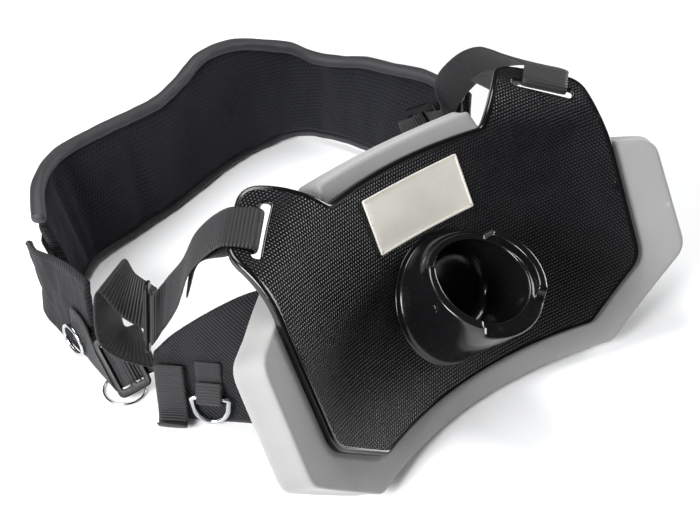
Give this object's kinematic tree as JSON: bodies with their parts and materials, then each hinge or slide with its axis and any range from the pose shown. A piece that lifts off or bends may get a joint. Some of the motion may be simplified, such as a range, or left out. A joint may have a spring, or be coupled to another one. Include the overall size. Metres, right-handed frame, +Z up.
{
  "type": "fishing fighting belt",
  "caption": "Butterfly-shaped rod plate with a tilted cup and thick foam pad, on a padded waist belt with webbing straps, sliders and steel rings.",
  "frame": {"origin": "middle of the bounding box at the height the belt rests on", "axes": "+Z up from the table, -Y the way the plate faces, +X to the right of someone facing the plate"},
  "size_m": [0.4412, 0.44, 0.2032],
  "materials": {
    "plate": "black moulded plastic with a fine woven texture and a smooth glossy border",
    "badge": "satin warm silver plate with a thin raised border",
    "foam": "grey closed-cell foam, matt and slightly grainy",
    "mesh": "black spacer mesh with rows of small oval holes",
    "cloth": "black ribbed cloth",
    "webbing": "black ribbed webbing",
    "slider": "black moulded plastic, satin gloss",
    "steel": "bright plated steel wire"
  },
  "bodies": {
    "root": {"plate": "plate", "badge": "badge", "foam_pad": "foam", "belt_pad": "mesh", "belt_binding_top": "cloth", "belt_binding_foot": "cloth", "belt_wing_left": "cloth", "belt_wing_right": "cloth", "front_panel": "cloth", "slider_upper_left": "slider", "strap_upper_left": "webbing", "slider_upper_right": "slider", "strap_upper_right": "webbing", "buckle_lower_left": "slider", "strap_lower_left": "webbing", "buckle_lower_right": "slider", "strap_lower_right": "webbing", "belt_webbing": "webbing", "tab_left": "webbing", "d_ring_left": "steel", "tab_right": "webbing", "d_ring_right": "steel", "ring_wing_left": "steel", "ring_belt_back": "steel", "ring_thin": "steel", "strap_tail_left": "webbing"}
  },
  "joints": []
}
